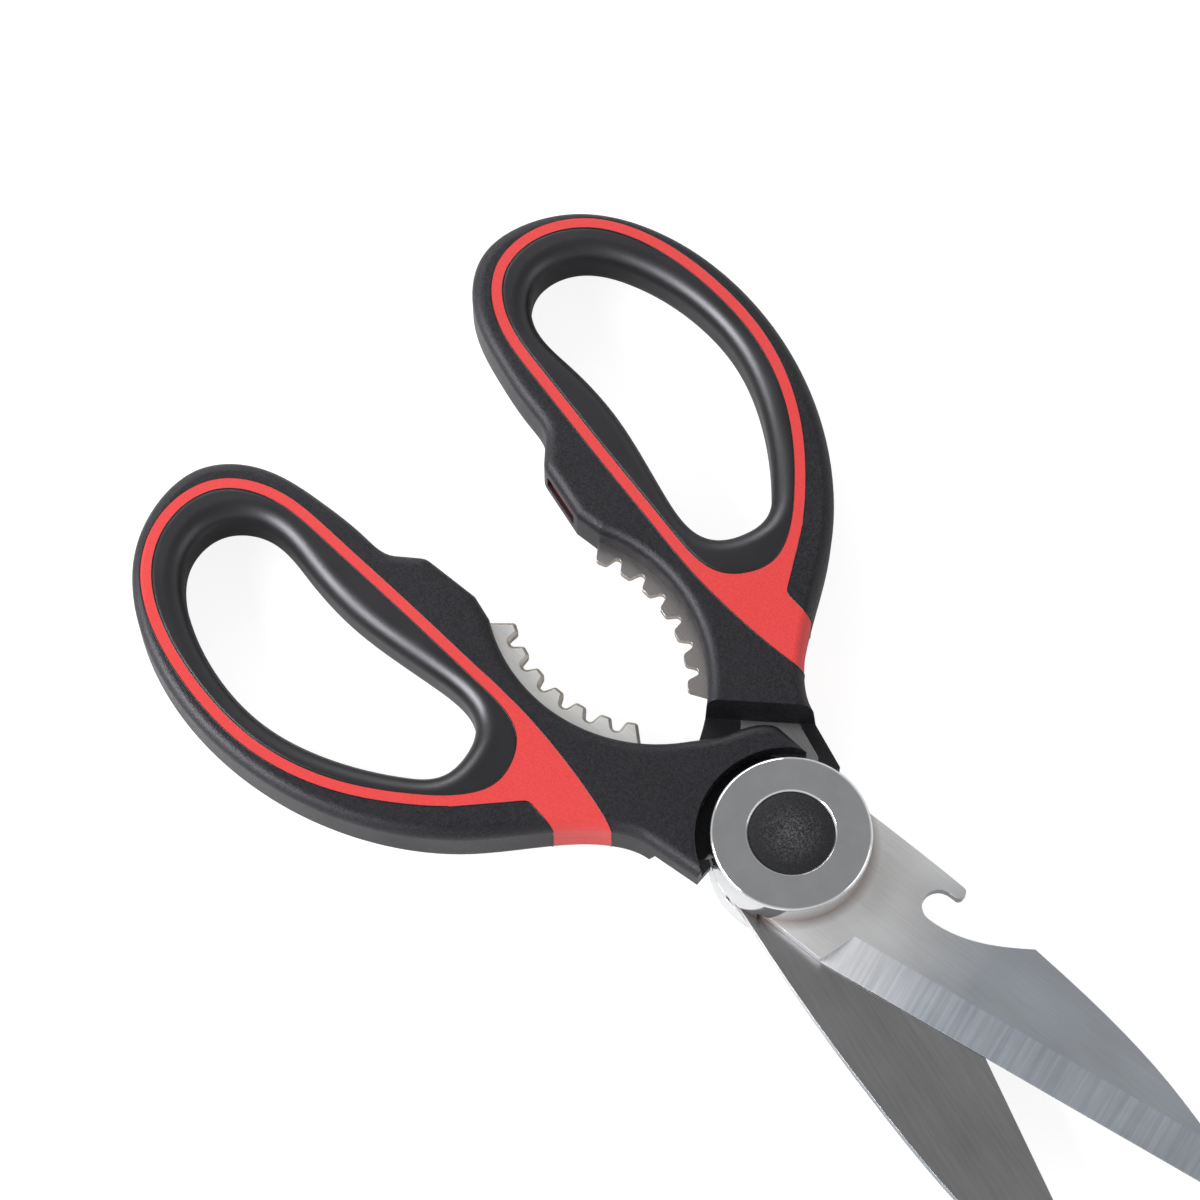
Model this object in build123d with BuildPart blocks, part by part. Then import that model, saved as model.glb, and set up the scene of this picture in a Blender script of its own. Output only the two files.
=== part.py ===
from build123d import *
from math import cos, degrees, hypot, radians, sin
import os

# Kitchen shears, lying on the flat face of the lower pivot disc and opened as far as in the photograph.
# Origin on the pivot axis at that face, +X along the centreline towards the blade tips, +Z up.
# Both halves are the same mouldings. Each piece is drawn as the upper half's, closed, with the plane
# between the two blades at z = 0 and the finger loop on the -Y side, and then put in its place.
# Lengths are millimetres, angles are degrees.

os.makedirs("parts", exist_ok=True)

# Whole object
stack_height = 16.0        # over the flat faces of the two pivot discs
handle_thickness = 11.0
handle_reach = 126.6       # pivot to the far end of a loop
handle_width = 50.4        # centreline to the outer side of a loop, closed
blade_length = 97.0        # pivot to blade tip
half_opening = 9.3         # each half turned out from the centreline, in the photograph's pose
cut_overrun = 1.0          # how far cutting shapes run past what they cut

# Blades
blade_thickness = 2.0
blade_gap = 0.1            # running gap between the two blades
root_clearance = 0.2       # blade root to disc skirt
spine_flare = 0.3          # the spine stands this far outside the root circle
heel_inset = 0.4           # the heel of the cutting edge stands this far inside it
heel_reach = 17.0          # pivot to the heel, where the ground edge starts
tip_offset = 0.9           # cutting edge past the centreline at the tip
tip_radius = 0.6
bevel_width = 6.5
bevel_land = 0.35          # steel left at the edge below the bevel
bevel_runout = 3.2         # the bevel's inner corner starts this far ahead of the heel
spine_shares = ((0.268, 0.965), (0.454, 0.890), (0.600, 0.795), (0.770, 0.590), (0.900, 0.325))

# Bottle-opener hook in the upper blade's spine
claw_reach = 26.7          # pivot to the claw's centre, along the blade
claw_offset = 7.6          # centreline to the claw's centre
claw_radius = 3.0
hook_length = 2.1          # hook tip past the claw's centre
hook_width = 2.4           # across the hook's tip
hook_tip_radius = 0.9
throat_length = 17.3       # claw's centre to the end of the throat
throat_rise = 2.0          # the throat above the claw's bottom, half way along

# Tang, from the neck gap into the handle, and its two anchor holes
tang_rounding = 1.2
anchor_radius = 1.75
tang_neck_lower_shares = ((0.485, 0.606), (0.576, 0.715), (0.697, 0.806), (1.090, 0.830))
tang_neck_upper_shares = ((1.121, -0.091), (0.879, -0.545), (0.606, -0.739), (0.485, -0.630))
tang_handle_shares = ((0.205, 0.317), (0.340, 0.367), (0.340, 0.278), (0.245, 0.198), (0.181, 0.089))
anchor_shares = ((0.237, 0.258), (0.298, 0.308))

# Pivot discs and their caps
disc_diameter = 28.0
disc_edge_radius = 0.7
disc_skirt = 0.6           # wall round the blade's root
skirt_edge_angle = 75.0    # the skirt runs from here, on the cutting-edge side
skirt_spine_angle = 84.0   # and from here, on the spine side
skirt_back_angle = 122.0   # to here on both sides, clear of the tang
peg_radius = 1.1
peg_circle_radius = 11.2
peg_clearance = 0.05
cap_diameter = 15.0
cap_clearance = 0.05
cap_seat_depth = 1.3       # disc face to the ledge that carries the cap
cap_ledge = 0.6            # width of that ledge
cap_skirt_depth = 0.9
cap_skirt_wall = 0.7
cap_flat_share = 0.45      # flat middle of the cap, of its radius
cap_edge_drop = 0.35       # cap's rim below its crown, which is level with the disc face
cap_bevel = 0.3            # polished bevel of the disc round the cap

# Pivot
shank_radius = 3.0
running_clearance = 0.05
thread_radius = 2.5
bush_radius = 9.0
bush_height = 2.25
bush_head_room = 0.7       # disc cavity above the bush
head_radius = 5.8
head_height = 1.5
socket_across = 3.0
socket_depth = 0.9
washer_radius = 6.0
spring_height = 0.55
spring_thickness = 0.3
washer_thickness = 0.6
washer_play = 0.05
nut_across = 10.0
nut_height = 1.5

# Handle outline, closed: shares of the handle's reach and width, read at round stations
neck_gap = 2.5             # neck to disc
floor_gap = 0.25           # the moulding beside the tang runs in to this near the disc's skirt
rim_rounding = 2.2
rim_shares = (
    (0.190, 0.362), (0.250, 0.483), (0.340, 0.714), (0.440, 0.877), (0.560, 0.977), (0.680, 1.000),
    (0.800, 0.948), (0.900, 0.828), (0.968, 0.660), (0.998, 0.460), (0.988, 0.260), (0.930, 0.127),
    (0.820, 0.078), (0.740, 0.081),
)
neck_lower_shares = ((0.480, 0.940), (1.110, 0.985))
horn_shares = ((1.291, -0.436), (1.164, -0.655), (1.042, -0.812), (0.861, -0.897))
horn_tip_shares = (0.479, -0.873)
# The hollow between the handles: an arc through its loop end, its bottom and its neck end
hollow_shares = ((0.5245, 0.0395), (0.381, 0.161), (0.201, -0.045))

# Step in the handle's thickness, where the other half's neck swings in: its foot, in the blades' plane
step_inner_shares = (0.217, 0.020)
step_outer_shares = (0.1453, 0.276)
step_lean_angle = 15.0     # its wall leans back from the pivot

# Finger hole and the red line round it
hole_rounding = 3.4
band_width = 2.1
band_stations = 28
hole_shares = (
    (0.4195, 0.500), (0.450, 0.345), (0.530, 0.322), (0.670, 0.336), (0.770, 0.300), (0.860, 0.278),
    (0.909, 0.370), (0.912, 0.530), (0.855, 0.690), (0.760, 0.800), (0.665, 0.833), (0.560, 0.782),
    (0.460, 0.662),
)
band_shares = (
    (0.358, 0.430), (0.390, 0.302), (0.470, 0.256), (0.620, 0.223), (0.780, 0.193), (0.880, 0.198),
    (0.941, 0.283), (0.963, 0.437), (0.938, 0.640), (0.860, 0.795), (0.760, 0.880), (0.660, 0.908),
    (0.540, 0.850), (0.430, 0.700), (0.375, 0.580),
)
# The red patch: its upper border, then back outside the handle, its lower border and inside the line
patch_upper_shares = ((0.506, 0.222), (0.433, 0.223), (0.340, 0.260), (0.237, 0.329), (0.134, 0.431))
patch_lower_shares = (
    (0.170, 0.556), (0.205, 0.518), (0.307, 0.474), (0.344, 0.567), (0.384, 0.667), (0.403, 0.625),
    (0.434, 0.397),
)
patch_notch_shares = (0.307, 0.474)
patch_notch_radius = 1.8

# Toothed plates in the hollows
tooth_count = 7
tooth_pitch_angle = 10.6
row_turn_angle = 1.5       # the row's middle, turned from the hollow's bottom towards the loop
upper_tooth_reach = 4.5    # teeth proud of the handle
lower_tooth_reach = 3.5
tooth_height = 2.1
tooth_tip_width = 2.0
tooth_valley_width = 1.1
tooth_rounding = 0.75
tooth_bevel = 0.6          # on the outer face
jaw_seat_depth = 3.0       # plate held in the handle

# Stop lug on the inner side of each handle: its foot on the rim, then its face's two ends
stop_gap = 0.6             # between the two lugs' faces, closed
lug_corner_radius = 3.2
lug_foot_shares = (0.688, 0.068)
lug_end_shares = (0.652, 0.562)

# Pad in a window of the lug's face
pad_length = 9.0
pad_height = 3.8
pad_thickness = 1.6
pad_inset = 0.8            # behind the lug's face
pad_edge_radius = 0.25
pad_corner_radius = 0.8
pad_clearance = 0.05

# Levels and radii that follow, in the half's own frame
mid_height = stack_height / 2
half_thickness = handle_thickness / 2
inner_face = blade_gap / 2
blade_top = inner_face + blade_thickness
disc_radius = disc_diameter / 2
skirt_inner_radius = disc_radius - disc_skirt
root_radius = skirt_inner_radius - root_clearance
spine_offset = root_radius + spine_flare
heel_offset = root_radius - heel_inset
neck_radius = disc_radius + neck_gap
bore_radius = shank_radius + running_clearance
cap_seat = mid_height - cap_seat_depth
cap_radius = cap_diameter / 2
ledge_radius = cap_radius - cap_ledge
bush_top = blade_top + bush_height
cavity_top = bush_top + bush_head_room
above_spine = spine_offset + cut_overrun
above_length = blade_length + cut_overrun
stop_face = -stop_gap / 2
lug_far_end, lug_near_end = [-handle_reach * share for share in lug_end_shares]
pad_middle = (lug_far_end + lug_near_end) / 2


def on_handle(shares):
    """Plan point of the closed upper handle, from its shares of reach and width."""
    return (-handle_reach * shares[0], -handle_width * shares[1])


def on_neck(shares):
    """Plan point near the pivot, from its shares of the neck's radius."""
    return (-neck_radius * shares[0], -neck_radius * shares[1])


# The hollow's arc, which the teeth are drawn about
hollow_points = [on_handle(shares) for shares in hollow_shares]
hollow_arc = ThreePointArc(*hollow_points)
jaw_centre = hollow_arc.arc_center
jaw_back_radius = hollow_arc.radius + jaw_seat_depth


def about_jaw(radius, angle):
    """Plan point at a radius about the jaws' centre, at an angle from straight down, towards the pivot."""
    return (jaw_centre.X + radius * sin(radians(angle)), jaw_centre.Y - radius * cos(radians(angle)))


def closed_curve(points):
    """Face inside a smooth closed curve through plan points."""
    with BuildSketch() as curve:
        with BuildLine():
            Spline(*points, periodic=True)
        make_face()
    return curve.sketch


def outside_curve(points, distance):
    """Points at a distance outside the smooth closed curve through plan points, taken anticlockwise."""
    curve = Spline(*points, periodic=True)
    places = [station / band_stations for station in range(band_stations)]
    return [curve @ place + (curve % place).rotate(Axis.Z, -90) * distance for place in places]


def tang_outline():
    """Tang, from inside the blade's root, under the neck and into the handle."""
    points = [(0, 0)]
    points += [on_neck(shares) for shares in tang_neck_lower_shares]
    points += [on_handle(shares) for shares in tang_handle_shares]
    points += [on_neck(shares) for shares in tang_neck_upper_shares]
    with BuildSketch() as tang:
        with BuildLine():
            FilletPolyline(*points, radius=tang_rounding, close=True)
        make_face()
        with Locations(*[on_handle(shares) for shares in anchor_shares]):
            Circle(anchor_radius, mode=Mode.SUBTRACT)
    return tang.sketch


def opener_outline():
    """Claw and throat of the bottle opener, as the shape that is cut from the spine."""
    hook_end = claw_reach + hook_length
    hook_under = spine_offset * spine_shares[0][1] - hook_width
    throat_end = (claw_reach + throat_length, spine_offset * spine_shares[1][1])
    claw_bottom = (claw_reach, claw_offset - claw_radius)
    above = spine_offset + cut_overrun
    with BuildSketch() as opener:
        with Locations((claw_reach, claw_offset)):
            Circle(claw_radius)
        with BuildLine():
            start = Line((hook_end, above), (hook_end, hook_under))
            under = Line(start @ 1, (claw_reach, claw_offset + claw_radius))
            back = Line(under @ 1, claw_bottom)
            throat = Spline(
                back @ 1,
                (claw_reach + throat_length / 2, claw_bottom[1] + throat_rise),
                throat_end,
                tangents=(Vector(1, 0), Vector(0.8, 0.6)),
                tangent_scalars=(1, 1),
            )
            lip = Line(throat @ 1, (throat_end[0], above))
            Line(lip @ 1, start @ 0)
        make_face()
    return opener.sketch


def blade_outline(with_opener):
    """Root, spine, cutting edge and tang of a blade."""
    spine_points = [(blade_length * along, spine_offset * across) for along, across in spine_shares]
    with BuildSketch() as outline:
        with BuildLine():
            ends = (Vector(1, 0), Vector(0.8, -0.6))
            spine = Spline(
                (0, root_radius), *spine_points, (blade_length, 0), tangents=ends, tangent_scalars=(1, 1)
            )
            nose = Line(spine @ 1, (blade_length, -tip_offset))
            edge = Line(nose @ 1, (heel_reach, -heel_offset))
            root = Line(edge @ 1, (0, -heel_offset))
            Line(root @ 1, spine @ 0)
        make_face()
        if with_opener:
            add(opener_outline(), mode=Mode.SUBTRACT)
            tips = outline.vertices().filter_by_position(
                Axis.X, claw_reach + hook_length / 2, claw_reach + 2 * hook_length
            )
            fillet(tips.filter_by_position(Axis.Y, claw_offset, above_spine), hook_tip_radius)
        nose_corners = outline.vertices().filter_by_position(Axis.X, blade_length - tip_radius, above_length)
        fillet(nose_corners, tip_radius / 2)
        Circle(root_radius)
        add(tang_outline())
        Circle(bore_radius, mode=Mode.SUBTRACT)
        with Locations((0, peg_circle_radius), (0, -peg_circle_radius)):
            Circle(peg_radius + peg_clearance, mode=Mode.SUBTRACT)
    return outline.sketch


def make_bevel():
    """The steel that is ground off the outer side of the cutting edge, from the heel to the tip."""
    along = (blade_length - heel_reach, heel_offset - tip_offset)
    length = hypot(*along)
    forward = (along[0] / length, along[1] / length)
    inward = (-forward[1], forward[0])
    heel = (heel_reach, -heel_offset)
    back = (heel[0] - cut_overrun * forward[0], heel[1] - cut_overrun * forward[1], inner_face)
    slope = (blade_thickness - bevel_land) / bevel_width
    run = bevel_width + cut_overrun
    with BuildPart() as bevel:
        with BuildSketch(Plane(origin=back, x_dir=(*inward, 0), z_dir=(*forward, 0))):
            with BuildLine():
                Polyline(
                    (-cut_overrun, bevel_land - slope * cut_overrun),
                    (run, bevel_land + slope * run),
                    (-cut_overrun, bevel_land + slope * run),
                    close=True,
                )
            make_face()
        extrude(amount=length + 2 * cut_overrun + tip_offset)
        with BuildSketch():
            with BuildLine():
                corner = (heel[0] + inward[0] * run + bevel_runout, heel[1] + inward[1] * run)
                Polyline(
                    heel,
                    corner,
                    (above_length, corner[1] + heel_offset),
                    (above_length, -heel_offset - cut_overrun),
                    (heel[0], -heel_offset - cut_overrun),
                    close=True,
                )
            make_face()
        extrude(amount=2 * mid_height, mode=Mode.INTERSECT)
    return bevel.part


def make_blade(with_opener):
    bevel = make_bevel()
    with BuildPart() as blade:
        with BuildSketch(Plane.XY.offset(inner_face)):
            add(blade_outline(with_opener))
        extrude(amount=blade_thickness)
        add(bevel, mode=Mode.SUBTRACT)
    return blade.part


def jaw_outline(tooth_reach):
    """Toothed plate, a ring sector about the jaws' centre with its teeth pointing at it."""
    tooth_tip_radius = hollow_arc.radius - tooth_reach
    tooth_root_radius = tooth_tip_radius + tooth_height
    tip_half = degrees(tooth_tip_width / 2 / tooth_tip_radius)
    root_half = tooth_pitch_angle / 2 - degrees(tooth_valley_width / 2 / tooth_root_radius)
    outer_angle = (tooth_count - 1) / 2 * tooth_pitch_angle + tip_half
    flank_turn = (root_half - tip_half) / tooth_height
    end_angle = outer_angle + flank_turn * (jaw_back_radius - tooth_tip_radius) / 2
    teeth = []
    for tooth in range(tooth_count):
        middle = (tooth - (tooth_count - 1) / 2) * tooth_pitch_angle - row_turn_angle
        teeth.append(about_jaw(tooth_root_radius, middle - root_half))
        teeth.append(about_jaw(tooth_tip_radius, middle - tip_half))
        teeth.append(about_jaw(tooth_tip_radius, middle + tip_half))
        teeth.append(about_jaw(tooth_root_radius, middle + root_half))
    with BuildSketch() as plate:
        with BuildLine():
            back = CenterArc(jaw_centre, jaw_back_radius, 270 - row_turn_angle - end_angle, 2 * end_angle)
            Polyline(back @ 1, *reversed(teeth[1:-1]), back @ 0)
        make_face()
        corners = plate.vertices().filter_by(
            lambda v: hypot(v.X - jaw_centre.X, v.Y - jaw_centre.Y) < tooth_root_radius + tooth_rounding
        )
        fillet(corners, tooth_rounding)
    return plate.sketch


def make_jaw_plate(tooth_reach):
    with BuildPart() as jaw_plate:
        with BuildSketch(Plane.XY.offset(inner_face)):
            add(jaw_outline(tooth_reach))
        extrude(amount=blade_thickness)
        front = jaw_plate.faces().sort_by(Axis.Z)[-1].edges().filter_by(
            lambda e: hypot(e.center().X - jaw_centre.X, e.center().Y - jaw_centre.Y)
            < jaw_back_radius - tooth_bevel
        )
        chamfer(front, tooth_bevel)
    return jaw_plate.part


def body_outline():
    """Handle with its lug, before its finger hole. The neck's end runs on into the gap round the disc."""
    lower_tip, lower_neck = [on_neck(shares) for shares in neck_lower_shares]
    horn_points = [on_neck(shares) for shares in horn_shares]
    rim_points = [on_handle(shares) for shares in rim_shares]
    with BuildSketch() as body:
        with BuildLine():
            neck = Line(lower_tip, lower_neck)
            hollow = ThreePointArc(*hollow_points)
            flank = Line(on_handle(lug_foot_shares), (lug_far_end, stop_face))
            Polyline(flank @ 1, (lug_near_end, stop_face), hollow @ 0)
            rim_ends = (neck % 1, flank % 0)
            Spline(neck @ 1, *rim_points, flank @ 0, tangents=rim_ends, tangent_scalars=(1, 1))
            horn = Line(horn_points[-1], on_neck(horn_tip_shares))
            horn_ends = (hollow % 1, horn % 0)
            Spline(hollow @ 1, *horn_points, tangents=horn_ends, tangent_scalars=(1, 1))
            Line(horn @ 1, neck @ 0)
        make_face()
        fillet(body.vertices().sort_by_distance(flank @ 1)[0], lug_corner_radius)
    return body.sketch


def make_blank():
    """The whole handle as one block, before it is divided into shell, core and grip ring."""
    step_inner = on_handle(step_inner_shares)
    step_outer = on_handle(step_outer_shares)
    onward = ((step_inner[0] - step_outer[0]) / 2, (step_inner[1] - step_outer[1]) / 2)
    with BuildPart() as blank:
        with BuildSketch(Plane.XY.offset(-half_thickness)):
            add(body_outline())
        extrude(amount=handle_thickness)
        top = blank.faces().sort_by(Axis.Z)[-1].edges().sort_by(Axis.X)[:-1]
        bottom = blank.faces().sort_by(Axis.Z)[0].edges().sort_by(Axis.X)[:-1]
        fillet(top + bottom, rim_rounding)
        with BuildSketch(Plane.XY.offset(-half_thickness)):
            add(closed_curve([on_handle(shares) for shares in hole_shares]))
        extrude(amount=handle_thickness, mode=Mode.SUBTRACT)
        hole_edges = blank.edges().filter_by(
            lambda e: e.length > handle_reach and abs(abs(e.center().Z) - half_thickness) < rim_rounding / 2
        )
        fillet(hole_edges, hole_rounding)
        with BuildSketch(Plane.XY.offset(blade_top)):
            Circle(neck_radius)
        extrude(amount=half_thickness, mode=Mode.SUBTRACT)
        with BuildSketch(Plane.XY.offset(inner_face)):
            Circle(disc_radius + floor_gap)
        extrude(amount=blade_thickness, mode=Mode.SUBTRACT)
        with BuildSketch(Plane.XY.offset(inner_face)):
            with BuildLine():
                Polyline(
                    (step_inner[0] + onward[0], step_inner[1] + onward[1]),
                    (step_outer[0] - onward[0], step_outer[1] - onward[1]),
                    (disc_radius, -handle_width),
                    (disc_radius, handle_width),
                    (step_inner[0] + onward[0], handle_width),
                    close=True,
                )
            make_face()
        extrude(amount=-handle_thickness, taper=-step_lean_angle, mode=Mode.SUBTRACT)
    return blank.part


def core_outline():
    """Red core in plan: the line round the grip ring and the patch that runs out to the handle's side."""
    upper = [on_handle(shares) for shares in patch_upper_shares]
    lower = [on_handle(shares) for shares in patch_lower_shares]
    line = outside_curve([on_handle(shares) for shares in band_shares], band_width)
    with BuildSketch() as core:
        with BuildLine():
            border = Spline(*upper)
            Polyline(border @ 1, *lower, border @ 0)
        make_face()
        fillet(core.vertices().sort_by_distance(on_handle(patch_notch_shares))[0], patch_notch_radius)
        add(closed_curve(line))
    return core.sketch


def make_steel_space(jaw_plate):
    """What the tang and the jaw plate fill inside the handle."""
    with BuildPart() as steel:
        with BuildSketch(Plane.XY.offset(inner_face)):
            add(tang_outline())
        extrude(amount=blade_thickness)
        add(jaw_plate)
    return steel.part


def make_handle_shell(blank, steel):
    with BuildPart() as shell:
        add(blank)
        with BuildSketch(Plane.XY.offset(-half_thickness)):
            add(core_outline())
            add(closed_curve([on_handle(shares) for shares in band_shares]))
        extrude(amount=handle_thickness, mode=Mode.SUBTRACT)
        add(steel, mode=Mode.SUBTRACT)
        with BuildSketch(Plane.XZ.offset(-stop_face)):
            with Locations((pad_middle, 0)):
                RectangleRounded(
                    pad_length + 2 * pad_clearance,
                    pad_height + 2 * pad_clearance,
                    pad_corner_radius + pad_clearance,
                )
        extrude(amount=pad_inset + pad_thickness, mode=Mode.SUBTRACT)
    return shell.part


def make_handle_core(blank, steel):
    with BuildPart() as core:
        add(blank)
        with BuildSketch(Plane.XY.offset(-half_thickness)):
            add(core_outline())
        extrude(amount=handle_thickness, mode=Mode.INTERSECT)
        with BuildSketch(Plane.XY.offset(-half_thickness)):
            add(closed_curve([on_handle(shares) for shares in band_shares]))
        extrude(amount=handle_thickness, mode=Mode.SUBTRACT)
        add(steel, mode=Mode.SUBTRACT)
    return core.part


def make_grip_ring(blank):
    with BuildPart() as ring:
        add(blank)
        with BuildSketch(Plane.XY.offset(-half_thickness)):
            add(closed_curve([on_handle(shares) for shares in band_shares]))
        extrude(amount=handle_thickness, mode=Mode.INTERSECT)
    return ring.part


def make_stop_pad():
    with BuildPart() as pad:
        with BuildSketch(Plane.XZ.offset(pad_inset - stop_face)):
            with Locations((pad_middle, 0)):
                RectangleRounded(pad_length, pad_height, pad_corner_radius)
        extrude(amount=pad_thickness)
        fillet(pad.faces().sort_by(Axis.Y)[-1].edges(), pad_edge_radius)
    return pad.part


def make_disc():
    """Pivot cover: a thick disc on the blade, with a skirt down to the blades' plane on both sides."""
    with BuildPart() as disc:
        with BuildSketch(Plane.XY.offset(inner_face)):
            Circle(disc_radius)
        extrude(amount=mid_height - inner_face)
        fillet(disc.edges().group_by(Axis.Z)[-1], disc_edge_radius)
        with BuildSketch(Plane.XY.offset(inner_face)):
            Circle(skirt_inner_radius)
        extrude(amount=blade_thickness, mode=Mode.SUBTRACT)
        with BuildSketch(Plane.XY.offset(inner_face)):
            for first, last in (
                (-skirt_edge_angle, skirt_spine_angle),
                (skirt_back_angle, 360 - skirt_back_angle),
            ):
                with BuildLine():
                    sweep_arc = CenterArc((0, 0), disc_radius + cut_overrun, first, last - first)
                    Line(sweep_arc @ 1, (0, 0))
                    Line((0, 0), sweep_arc @ 0)
                make_face()
        extrude(amount=blade_thickness, mode=Mode.SUBTRACT)
        with BuildSketch(Plane.XY.offset(blade_top)):
            with Locations((0, peg_circle_radius), (0, -peg_circle_radius)):
                Circle(peg_radius)
        extrude(amount=-blade_thickness)
        with BuildSketch(Plane.XY.offset(blade_top)):
            Circle(bush_radius)
        extrude(amount=cavity_top - blade_top, mode=Mode.SUBTRACT)
        with BuildSketch(Plane.XY.offset(cavity_top)):
            Circle(ledge_radius)
        extrude(amount=mid_height - cavity_top, mode=Mode.SUBTRACT)
        with BuildSketch(Plane.XY.offset(cap_seat)):
            Circle(cap_radius)
        extrude(amount=cap_seat_depth, mode=Mode.SUBTRACT)
        circles = disc.edges().filter_by(GeomType.CIRCLE)
        cap_rims = circles.filter_by(lambda e: abs(e.radius - cap_radius) < cap_bevel / 2)
        chamfer(cap_rims.group_by(Axis.Z)[-1], cap_bevel)
    return disc.part


def make_disc_cap():
    """Cap pressed into the disc: a low dome with a flat middle, and a short skirt that centres it."""
    outer = cap_radius - cap_clearance
    skirt_outer = ledge_radius - cap_clearance
    skirt_inner = skirt_outer - cap_skirt_wall
    flat = cap_radius * cap_flat_share
    with BuildPart() as cap:
        with BuildSketch(Plane.XZ):
            with BuildLine():
                base = Polyline(
                    (0, cap_seat),
                    (skirt_inner, cap_seat),
                    (skirt_inner, cap_seat - cap_skirt_depth),
                    (skirt_outer, cap_seat - cap_skirt_depth),
                    (skirt_outer, cap_seat),
                    (outer, cap_seat),
                    (outer, mid_height - cap_edge_drop),
                )
                dome = TangentArc((flat, mid_height), base @ 1, tangent=(1, 0))
                middle = Line(dome @ 0, (0, mid_height))
                Line(middle @ 1, base @ 0)
            make_face()
        revolve(axis=Axis.Z)
    return cap.part


def make_bush():
    with BuildPart() as bush:
        with BuildSketch(Plane.XY.offset(blade_top)):
            Circle(bush_radius)
            Circle(bore_radius, mode=Mode.SUBTRACT)
        extrude(amount=bush_height)
    return bush.part


def publish(part, name):
    """Label a finished piece and write it under its node's name."""
    part.label = name
    export_step(part, f"parts/{name}.step")


# The two halves
upper_place = Location((0, 0, mid_height), (0, 0, half_opening))
lower_place = Location((0, 0, mid_height), (0, 0, -half_opening)) * Location((0, 0, 0), (180, 0, 0))

blank = make_blank()
like_pieces = {
    "grip_ring": make_grip_ring(blank),
    "stop_pad": make_stop_pad(),
    "disc": make_disc(),
    "disc_cap": make_disc_cap(),
    "pivot_bush": make_bush(),
}
for half, place, tooth_reach, with_opener in (
    ("upper", upper_place, upper_tooth_reach, True),
    ("lower", lower_place, lower_tooth_reach, False),
):
    jaw_plate = make_jaw_plate(tooth_reach)
    steel = make_steel_space(jaw_plate)
    half_pieces = {
        "blade": make_blade(with_opener),
        "jaw_plate": jaw_plate,
        "handle_shell": make_handle_shell(blank, steel),
        "handle_core": make_handle_core(blank, steel),
        **like_pieces,
    }
    for piece, shape in half_pieces.items():
        publish(place * shape, f"{half}_{piece}")

# The pivot, from the screw's head under the upper cap down to the nut over the lower one
head_seat = mid_height + bush_top + washer_play + spring_height
head_top = head_seat + head_height
nut_top = mid_height - bush_top - washer_thickness
nut_bottom = nut_top - nut_height

with BuildPart() as pivot_screw:
    with BuildSketch(Plane.XY.offset(head_seat)):
        Circle(head_radius)
    extrude(amount=head_height)
    with BuildSketch(Plane.XY.offset(head_seat)):
        Circle(shank_radius)
    extrude(amount=-(head_seat - mid_height + bush_top))
    with BuildSketch(Plane.XY.offset(mid_height - bush_top)):
        Circle(thread_radius)
    extrude(amount=-(mid_height - bush_top - nut_bottom))
    with BuildSketch(Plane.XY.offset(head_top)):
        RegularPolygon(radius=socket_across / 2, side_count=6, major_radius=False)
    extrude(amount=-socket_depth, mode=Mode.SUBTRACT)
publish(pivot_screw.part, "pivot_screw")

with BuildPart() as spring_washer:
    with BuildSketch(Plane.XZ):
        with BuildLine():
            Polyline(
                (bore_radius, head_seat - spring_thickness),
                (washer_radius, head_seat - spring_height),
                (washer_radius, head_seat - spring_height + spring_thickness),
                (bore_radius, head_seat),
                close=True,
            )
        make_face()
    revolve(axis=Axis.Z)
publish(spring_washer.part, "spring_washer")

with BuildPart() as flat_washer:
    with BuildSketch(Plane.XY.offset(nut_top)):
        Circle(washer_radius)
        Circle(thread_radius + running_clearance, mode=Mode.SUBTRACT)
    extrude(amount=washer_thickness)
publish(flat_washer.part, "flat_washer")

with BuildPart() as pivot_nut:
    with BuildSketch(Plane.XY.offset(nut_bottom)):
        RegularPolygon(radius=nut_across / 2, side_count=6, major_radius=False)
        Circle(thread_radius + running_clearance, mode=Mode.SUBTRACT)
    extrude(amount=nut_height)
publish(pivot_nut.part, "pivot_nut")
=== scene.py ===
import math

import bmesh
import bpy
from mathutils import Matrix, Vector
from mathutils.bvhtree import BVHTree


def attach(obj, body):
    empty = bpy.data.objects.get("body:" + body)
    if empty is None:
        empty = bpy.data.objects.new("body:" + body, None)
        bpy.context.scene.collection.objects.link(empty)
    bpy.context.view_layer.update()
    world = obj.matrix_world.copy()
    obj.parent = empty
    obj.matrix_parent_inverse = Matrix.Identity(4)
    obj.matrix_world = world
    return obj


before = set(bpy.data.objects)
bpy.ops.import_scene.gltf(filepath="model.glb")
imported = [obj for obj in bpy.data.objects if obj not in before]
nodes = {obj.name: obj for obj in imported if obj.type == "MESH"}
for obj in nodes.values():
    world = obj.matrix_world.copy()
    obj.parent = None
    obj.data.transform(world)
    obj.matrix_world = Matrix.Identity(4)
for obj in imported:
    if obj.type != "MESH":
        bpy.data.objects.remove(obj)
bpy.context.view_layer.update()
scene = bpy.context.scene

# Lengths are metres. The pivot's axis is Z, and the blades point along +X, opened to either side of it.
HALF_OPENING = math.radians(9.3)
MID_HEIGHT = 0.008              # the plane between the blades, where the mouldings part

# Bands of noise over which a tone changes
EVEN_BAND = (0.3, 0.7)
GRAIN_BAND = (0.38, 0.64)
SPECK_BAND = (0.44, 0.68)
RIDGE_BAND = (0.36, 0.64)

# Mouldings
PLASTIC_TINT = (0.93, 0.93, 1.0)
PARTING_LINE = (0.00006, 0.00014)   # away from MID_HEIGHT
# Span of the cap's painted highlight, where its speckle is painted lighter
PAINTED_HIGHLIGHT_MIDDLE = (0.0, 0.0062)         # away from the pivot's axis, on the cap

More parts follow.
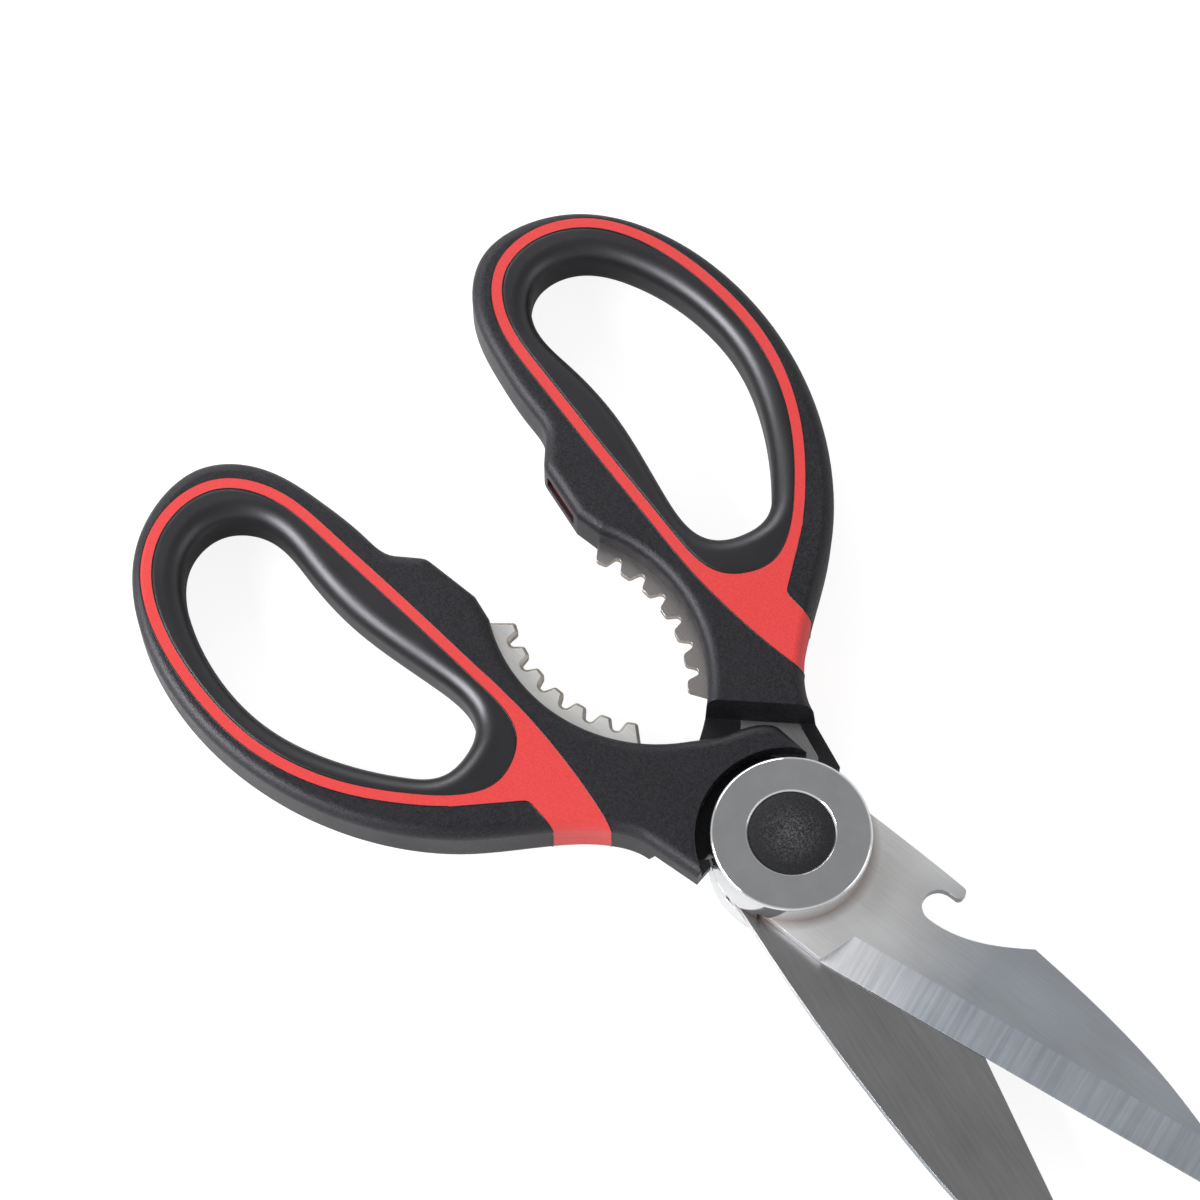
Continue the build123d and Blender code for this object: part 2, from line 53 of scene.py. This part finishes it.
# Steel: stretched noise makes its lines, and how far a face is from level tells flat, bevel and wall apart
FLAT_STRETCH = (0.035, 1, 1)
BEVEL_STRETCH = (1, 0.03, 0.03)
BEVEL_SKEW = math.radians(8)
CLOUD_STRETCH = (0.5, 1, 1)
HAIR_STRETCH = (0.04, 1, 1)
HAIR_TURN = 0.6
BEVEL_FACING = (0.975, 0.985)
WALL_FACING = (0.3, 0.6)
CONTACT_FACING = (-0.98, -0.90)
# Where the painted darker reflection begins, along the blade
PAINTED_REFLECTION_START = (0.016, 0.040)         # along the blade
# Where the painted shade over the tang ends, along the blade
TANG_SHADE_EDGE = (-0.0096, -0.0090)      # along the blade
# Band over which the painted shade round the disc fades out
DISC_SHADE_RIM = (0.0140, 0.0158)         # away from the pivot's axis

# The groove, and the short rays that find which edges lie on the handle's skin
GROOVE_RADIUS = 0.00012
GROOVE_SINK = 0.00004
SHARP_EDGE = math.radians(38)
RAY_INSET = 0.0001
RAY_LIFT = 0.00003
RAY_REACH = 0.004
SAME_POINT = 0.000001

# Surroundings
FLOOR_REACH = 6.0
FLOOR_DROP = 0.0002
STUDIO_HEIGHTS = (0.40, 0.86)
STUDIO_LEVELS = (0.88, 0.36)
CAMERA_PLACE = (0.1513, -0.1735, 0.6548)
CAMERA_TARGET = (-0.0548, 0.0040, 0.0135)


# Node helpers
class Graph:
    """Helpers over one node tree. A value is a socket, a number or a colour."""

    def __init__(self, tree):
        self.tree = tree
        self.tree.nodes.clear()

    def add(self, kind, **values):
        node = self.tree.nodes.new(kind)
        for key, value in values.items():
            setattr(node, key, value)
        return node

    def link(self, out, into):
        self.tree.links.new(out, into)

    def give(self, socket, value):
        if isinstance(value, bpy.types.NodeSocket):
            self.link(value, socket)
        elif isinstance(value, tuple):
            socket.default_value = (*value, 1)
        else:
            socket.default_value = value

    def coordinates(self, turn=0.0, scale=(1, 1, 1)):
        """Object coordinates turned about Z, so that X runs along a half of the shears."""
        place = self.add("ShaderNodeTexCoord")
        turned = self.add("ShaderNodeMapping", vector_type="TEXTURE")
        turned.inputs["Rotation"].default_value = (0, 0, turn)
        self.link(place.outputs["Object"], turned.inputs["Vector"])
        scaled = self.add("ShaderNodeMapping")
        scaled.inputs["Scale"].default_value = scale
        self.link(turned.outputs["Vector"], scaled.inputs["Vector"])
        return scaled.outputs["Vector"]

    def part(self, vector, axis):
        node = self.add("ShaderNodeSeparateXYZ")
        self.link(vector, node.inputs[0])
        return node.outputs[axis]

    def noise(self, vector, scale, detail=3.0, roughness=0.5):
        node = self.add("ShaderNodeTexNoise")
        node.inputs["Scale"].default_value = scale
        node.inputs["Detail"].default_value = detail
        node.inputs["Roughness"].default_value = roughness
        self.link(vector, node.inputs["Vector"])
        return node.outputs["Fac"]

    def spread(self, value, low, high, band=EVEN_BAND):
        """A value that goes from low to high across a band of another."""
        node = self.add("ShaderNodeMapRange")
        node.inputs["From Min"].default_value, node.inputs["From Max"].default_value = band
        node.inputs["To Min"].default_value = low
        node.inputs["To Max"].default_value = high
        self.link(value, node.inputs["Value"])
        return node.outputs["Result"]

    def rising(self, value, band=EVEN_BAND):
        return self.spread(value, 0.0, 1.0, band)

    def falling(self, value, band):
        return self.spread(value, 1.0, 0.0, band)

    def math(self, operation, first, second=0.0):
        node = self.add("ShaderNodeMath", operation=operation)
        for socket, value in zip(node.inputs, (first, second)):
            self.give(socket, value)
        return node.outputs[0]

    def from_pivot(self):
        """Distance from the pivot's axis."""
        place = self.coordinates()
        sides = [self.part(place, axis) for axis in "XY"]
        squares = [self.math("MULTIPLY", side, side) for side in sides]
        return self.math("SQRT", self.math("ADD", *squares))

    def mix(self, factor, first, second, blend_type="MIX"):
        """A colour from two."""
        node = self.add("ShaderNodeMix", data_type="RGBA", blend_type=blend_type)
        for index, value in zip((0, 6, 7), (factor, first, second)):
            self.give(node.inputs[index], value)
        return node.outputs[2]

    def blend(self, factor, first, second):
        """A number from two."""
        node = self.add("ShaderNodeMix", data_type="FLOAT")
        for index, value in zip((0, 2, 3), (factor, first, second)):
            self.give(node.inputs[index], value)
        return node.outputs[0]

    def rounded(self, radius):
        """Normals that round the edges off, as a tumbled or moulded edge is."""
        node = self.add("ShaderNodeBevel", samples=6)
        node.inputs["Radius"].default_value = radius
        return node.outputs["Normal"]

    def bump(self, value, distance, normal=None):
        node = self.add("ShaderNodeBump")
        node.inputs["Distance"].default_value = distance
        self.link(value, node.inputs["Height"])
        if normal is not None:
            self.link(normal, node.inputs["Normal"])
        return node.outputs["Normal"]


class Surface(Graph):
    """A node-based material under construction."""

    def __init__(self, name):
        self.material = bpy.data.materials.new(name)
        self.material.use_nodes = True
        super().__init__(self.material.node_tree)
        self.output = self.add("ShaderNodeOutputMaterial")
        self.shader = self.add("ShaderNodeBsdfPrincipled")
        self.link(self.shader.outputs["BSDF"], self.output.inputs["Surface"])

    def into(self, socket, value):
        self.give(self.shader.inputs[socket], value)


# Materials
def plastic(name, dark, light, roughness, grain, depth, parting=0.0, gloss=0.5, edge=0.00015):
    """Moulded plastic: an even grain, a slow change of gloss from handling, and its parting line."""
    surface = Surface(name)
    surface.into("Specular IOR Level", gloss)
    surface.into("Specular Tint", PLASTIC_TINT)
    place = surface.coordinates()
    fine = surface.noise(place, grain, detail=4.0, roughness=0.62)
    slow = surface.noise(place, 55.0)
    color = surface.mix(surface.rising(fine, GRAIN_BAND), dark, light)
    if parting:
        away = surface.math("ABSOLUTE", surface.math("SUBTRACT", surface.part(place, "Z"), MID_HEIGHT))
        line = surface.spread(away, parting, 0.0, PARTING_LINE)
        color = surface.mix(line, color, tuple(part * 0.3 for part in dark))
    surface.into("Base Color", color)
    surface.into("Roughness", surface.spread(slow, roughness - 0.05, roughness + 0.06))
    surface.into("Normal", surface.bump(fine, depth, surface.rounded(edge)))
    return surface.material


def speckled(name):
    """Grained black plastic, its grain painted lighter towards the middle of the cap, a painted highlight
    on the dome.
    """
    surface = Surface(name)
    fine = surface.noise(surface.coordinates(), 3600.0, detail=4.0, roughness=0.7)
    # Painted highlight: the speckle is painted lighter towards the middle of the cap, where the dome's
    # gloss catches the lamp
    middle = surface.falling(surface.from_pivot(), PAINTED_HIGHLIGHT_MIDDLE)
    highlighted_speck = surface.mix(middle, (0.016, 0.016, 0.017), (0.13, 0.125, 0.13))
    surface.into("Base Color", surface.mix(surface.rising(fine, SPECK_BAND), (0.006, 0.006, 0.008), highlighted_speck))
    surface.into("Roughness", surface.spread(fine, 0.36, 0.50))
    surface.into("Normal", surface.bump(fine, 0.00003))
    return surface.material


def ground_steel(name, turn, outward, flat_tones, contact_tones, slope_tones, tang_shade_painted):
    """Ground stainless steel: lines along the blade on its flats and walls, and across it on the bevel.

    The contact side, which slides on the other blade, is finer ground and darker than the outer side.
    On the outer side of a piece with its tang shade on, the tang behind the disc is painted near-black:
    painted shade in the dark gap between the neck and the disc.
    """
    surface = Surface(name)
    surface.into("Metallic", 1.0)
    facing = surface.part(surface.add("ShaderNodeTexCoord").outputs["Normal"], "Z")
    level = surface.math("ABSOLUTE", facing)
    bevel = surface.falling(level, BEVEL_FACING)
    wall = surface.falling(level, WALL_FACING)
    contact = surface.falling(surface.math("MULTIPLY", facing, outward), CONTACT_FACING)
    outer = surface.math("SUBTRACT", 1.0, contact)
    ahead = surface.part(surface.coordinates(turn), "X")

    along = surface.coordinates(turn, FLAT_STRETCH)
    across = surface.coordinates(turn + BEVEL_SKEW, BEVEL_STRETCH)
    flat_lines = surface.noise(along, 2600.0, detail=5.0, roughness=0.7)
    bevel_lines = surface.blend(wall, surface.noise(across, 1400.0, detail=4.0, roughness=0.65), flat_lines)
    cloud = surface.noise(surface.coordinates(turn, CLOUD_STRETCH), 90.0)

    streaks = surface.rising(flat_lines)
    flat = surface.mix(contact, surface.mix(streaks, *flat_tones), surface.mix(streaks, *contact_tones))
    color = surface.mix(bevel, flat, surface.mix(surface.rising(bevel_lines, RIDGE_BAND), *slope_tones))

    tint = surface.mix(surface.rising(cloud), (0.95, 0.94, 0.93), (1.0, 1.0, 1.0))
    # Painted reflection: the outer faces are painted darker and cooler further along the blade, for the
    # darker reflection seen there
    painted_reflection_fade = surface.math("MULTIPLY", outer, surface.rising(ahead, PAINTED_REFLECTION_START))
    tint = surface.mix(painted_reflection_fade, tint, (0.47, 0.50, 0.54))
    # Painted shade: the steel just round the disc is painted a darker brown, as shade from the disc falls
    # there
    painted_disc_shade = surface.falling(surface.from_pivot(), DISC_SHADE_RIM)
    tint = surface.mix(painted_disc_shade, tint, (0.60, 0.54, 0.51))
    if tang_shade_painted:
        # Painted shade: the outer face of the tang behind the disc is painted near-black, standing in for
        # the shaded gap beside the neck
        painted_tang_shade = surface.math("MULTIPLY", outer, surface.falling(ahead, TANG_SHADE_EDGE))
        tint = surface.mix(painted_tang_shade, tint, (0.02, 0.02, 0.02))
    surface.into("Base Color", surface.mix(1.0, color, tint, "MULTIPLY"))

    finer = surface.math("MULTIPLY", contact, 0.20)
    surface.into("Roughness", surface.math("SUBTRACT", surface.spread(cloud, 0.44, 0.52), finer))
    lines = surface.blend(bevel, flat_lines, bevel_lines)
    surface.into("Normal", surface.bump(lines, 0.000008, surface.rounded(0.00012)))
    return surface.material


def polished(name, dark, light, roughness, edge):
    """Plated metal, polished, a little cloudy from wiping."""
    surface = Surface(name)
    surface.into("Metallic", 1.0)
    cloud = surface.noise(surface.coordinates(), 260.0)
    hair = surface.noise(surface.coordinates(HAIR_TURN, HAIR_STRETCH), 2800.0, detail=2.0)
    surface.into("Base Color", surface.mix(surface.rising(cloud), dark, light))
    surface.into("Roughness", surface.spread(hair, roughness - 0.025, roughness + 0.025))
    surface.into("Normal", surface.rounded(edge))
    return surface.material


blade_looks = {
    "flat_tones": ((0.88, 0.88, 0.88), (0.99, 0.99, 0.99)),
    "contact_tones": ((0.40, 0.40, 0.41), (0.50, 0.50, 0.51)),
    "slope_tones": ((0.74, 0.75, 0.78), (0.93, 0.94, 0.96)),
    "tang_shade_painted": True,
}
plate_looks = {
    "flat_tones": ((0.80, 0.80, 0.79), (0.90, 0.90, 0.88)),
    "contact_tones": ((0.58, 0.55, 0.54), (0.70, 0.67, 0.66)),
    # On the plates the slope tones are painted shade: the teeth's side walls are painted a darker
    # beige-brown than the flats
    "slope_tones": ((0.44, 0.40, 0.36), (0.60, 0.55, 0.50)),
    "tang_shade_painted": False,
}
black = plastic(
    "black_moulding", (0.0005, 0.0005, 0.001), (0.016, 0.015, 0.019),
    roughness=0.42, grain=3000.0, depth=0.00009, parting=0.8, gloss=0.48, edge=0.00035,
)
grip = plastic(
    "black_grip", (0.002, 0.002, 0.002), (0.004, 0.004, 0.005),
    roughness=0.38, grain=3200.0, depth=0.00002, gloss=0.85, edge=0.0009,
)
red = plastic(
    "red_moulding", (0.61, 0.044, 0.042), (0.70, 0.057, 0.054),
    roughness=0.42, grain=2800.0, depth=0.00002, parting=0.5,
)
pad_red = plastic(
    "red_pad", (0.62, 0.040, 0.040), (0.72, 0.060, 0.056), roughness=0.58, grain=2400.0, depth=0.00001
)
cap_black = speckled("black_cap")
bush_white = plastic(
    "bush_plastic", (0.62, 0.62, 0.60), (0.70, 0.70, 0.68), roughness=0.45, grain=2000.0, depth=0.00001
)
seam_black = plastic(
    "seam_black", (0.004, 0.004, 0.004), (0.008, 0.008, 0.008), roughness=0.24, grain=2000.0, depth=0.000005
)
chrome = polished("disc_plating", (0.77, 0.78, 0.80), (0.84, 0.85, 0.86), roughness=0.09, edge=0.0002)
fastener = polished("fastener_steel", (0.52, 0.52, 0.53), (0.58, 0.58, 0.59), roughness=0.26, edge=0.0001)

finishes = {
    "handle_shell": black,
    "handle_core": red,
    "grip_ring": grip,
    "stop_pad": pad_red,
    "disc": chrome,
    "disc_cap": cap_black,
    "pivot_bush": bush_white,
}


def finish_node(name, material):
    """Gives a carried-over node its material."""
    data = nodes[name].data
    data.materials.clear()
    data.materials.append(material)


for half, outward in (("upper", 1.0), ("lower", -1.0)):
    turn = outward * HALF_OPENING
    finish_node(half + "_blade", ground_steel(half + "_ground_steel", turn, outward, **blade_looks))
    finish_node(half + "_jaw_plate", ground_steel(half + "_plate_steel", turn, outward, **plate_looks))
    for piece, material in finishes.items():
        finish_node(half + "_" + piece, material)
for name in ("pivot_screw", "spring_washer", "flat_washer", "pivot_nut"):
    finish_node(name, fastener)


# The fine groove where the red moulding meets the black one
def joined(names):
    """Search tree over several nodes, to tell what lies just outside a face."""
    points, faces = [], []
    for name in names:
        data = nodes[name].data
        first = len(points)
        points += [vertex.co.copy() for vertex in data.vertices]
        faces += [tuple(first + index for index in polygon.vertices) for polygon in data.polygons]
    return BVHTree.FromPolygons(points, faces)


def on_skin(edge, around):
    """Whether an edge is sharp and one of its two faces has nothing just outside it."""
    if len(edge.link_faces) != 2 or edge.calc_face_angle(0.0) < SHARP_EDGE:
        return False
    middle = (edge.verts[0].co + edge.verts[1].co) / 2
    for face in edge.link_faces:
        inward = (face.calc_center_median() - middle).normalized()
        start = middle + inward * RAY_INSET + face.normal * RAY_LIFT
        if around.ray_cast(start, face.normal, RAY_REACH)[0] is None:
            return True
    return False


def border_runs(half):
    """Runs of points along the red moulding's sharp edges that lie on the handle's outer surface."""
    around = joined([half + "_" + name for name in ("handle_shell", "grip_ring", "blade", "jaw_plate")])
    core = bmesh.new()
    core.from_mesh(nodes[half + "_handle_core"].data)
    bmesh.ops.remove_doubles(core, verts=core.verts, dist=SAME_POINT)
    # A dict, not a set, so that the order is the same in each run
    marked = {edge: True for edge in core.edges if on_skin(edge, around)}
    runs = []
    while marked:
        edge = marked.popitem()[0]
        run = [edge.verts[0], edge.verts[1]]
        for end in (0, 1):
            while True:
                tip = run[-1] if end else run[0]
                following = [item for item in tip.link_edges if item in marked]
                if not following:
                    break
                del marked[following[0]]
                other = following[0].other_vert(tip)
                run = run + [other] if end else [other] + run
        runs.append([vertex.co.copy() for vertex in run])
    core.free()
    return [run for run in runs if len(run) > 3]


def make_groove(half):
    data = bpy.data.curves.new(half + "_colour_groove", "CURVE")
    data.dimensions = "3D"
    data.bevel_depth = GROOVE_RADIUS
    data.bevel_resolution = 2
    for run in border_runs(half):
        closed = (run[0] - run[-1]).length < 2 * SAME_POINT
        points = run[:-1] if closed else run
        spline = data.splines.new("POLY")
        spline.points.add(len(points) - 1)
        for target, point in zip(spline.points, points):
            inward = -GROOVE_SINK if point.z > MID_HEIGHT else GROOVE_SINK
            target.co = (point.x, point.y, point.z + inward, 1)
        spline.use_cyclic_u = closed
    data.materials.append(seam_black)
    groove = bpy.data.objects.new(half + "_colour_groove", data)
    scene.collection.objects.link(groove)
    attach(groove, half + "_half")


make_groove("upper")
make_groove("lower")


# Surroundings
def make_floor():
    """Pale floor that is white to the camera and keeps a soft shadow."""
    mesh = bpy.data.meshes.new("floor")
    corners = [(FLOOR_REACH * x, FLOOR_REACH * y, 0) for x, y in ((-1, -1), (1, -1), (1, 1), (-1, 1))]
    mesh.from_pydata(corners, [], [(0, 1, 2, 3)])
    floor = bpy.data.objects.new("floor", mesh)
    scene.collection.objects.link(floor)
    floor.location.z = -FLOOR_DROP
    surface = Surface("floor_white")
    seen = surface.add("ShaderNodeLightPath").outputs["Is Camera Ray"]
    surface.into("Base Color", surface.mix(seen, (0.80, 0.80, 0.80), (0.30, 0.30, 0.30)))
    surface.into("Roughness", 0.9)
    glow = surface.add("ShaderNodeEmission")
    surface.link(surface.math("MULTIPLY", seen, 0.86), glow.inputs["Strength"])
    total = surface.add("ShaderNodeAddShader")
    surface.link(surface.shader.outputs["BSDF"], total.inputs[0])
    surface.link(glow.outputs["Emission"], total.inputs[1])
    surface.link(total.outputs[0], surface.output.inputs["Surface"])
    mesh.materials.append(surface.material)


def make_world():
    """World that is white to the camera, and otherwise a pale studio, darker overhead."""
    world = bpy.data.worlds.new("studio")
    world.use_nodes = True
    studio = Graph(world.node_tree)
    height = studio.part(studio.add("ShaderNodeTexCoord").outputs["Generated"], "Z")
    seen = studio.add("ShaderNodeLightPath").outputs["Is Camera Ray"]
    background = studio.add("ShaderNodeBackground")
    strength = studio.math("MAXIMUM", seen, studio.spread(height, *STUDIO_LEVELS, STUDIO_HEIGHTS))
    studio.link(strength, background.inputs["Strength"])
    output = studio.add("ShaderNodeOutputWorld")
    studio.link(background.outputs["Background"], output.inputs["Surface"])
    scene.world = world


def aimed(thing, place, target):
    """Puts a lamp or camera in the scene, looking at a point."""
    scene.collection.objects.link(thing)
    thing.location = place
    thing.rotation_euler = (Vector(target) - thing.location).to_track_quat("-Z", "Y").to_euler()


def soft_light(name, place, target, size, power):
    data = bpy.data.lights.new(name, "AREA")
    data.shape = "RECTANGLE"
    data.size, data.size_y = size
    data.energy = power
    aimed(bpy.data.objects.new(name, data), place, target)


def make_camera():
    """Camera at the photograph's angle."""
    data = bpy.data.cameras.new("camera")
    data.sensor_width = 36.0
    data.lens = 118.9
    data.clip_start = 0.05
    scene.camera = bpy.data.objects.new("camera", data)
    aimed(scene.camera, CAMERA_PLACE, CAMERA_TARGET)


make_floor()
make_world()
soft_light("left_box", (-0.41, -0.74, 0.50), target=(-0.04, 0, 0), size=(0.70, 0.42), power=12.5)
soft_light("back_box", (-0.74, 0.20, 0.46), target=(-0.04, 0, 0), size=(0.55, 0.30), power=2.2)
soft_light("right_box", (0.62, 0.50, 0.50), target=(0, 0, 0), size=(0.60, 0.40), power=1.0)
make_camera()
scene.view_settings.view_transform = "Standard"
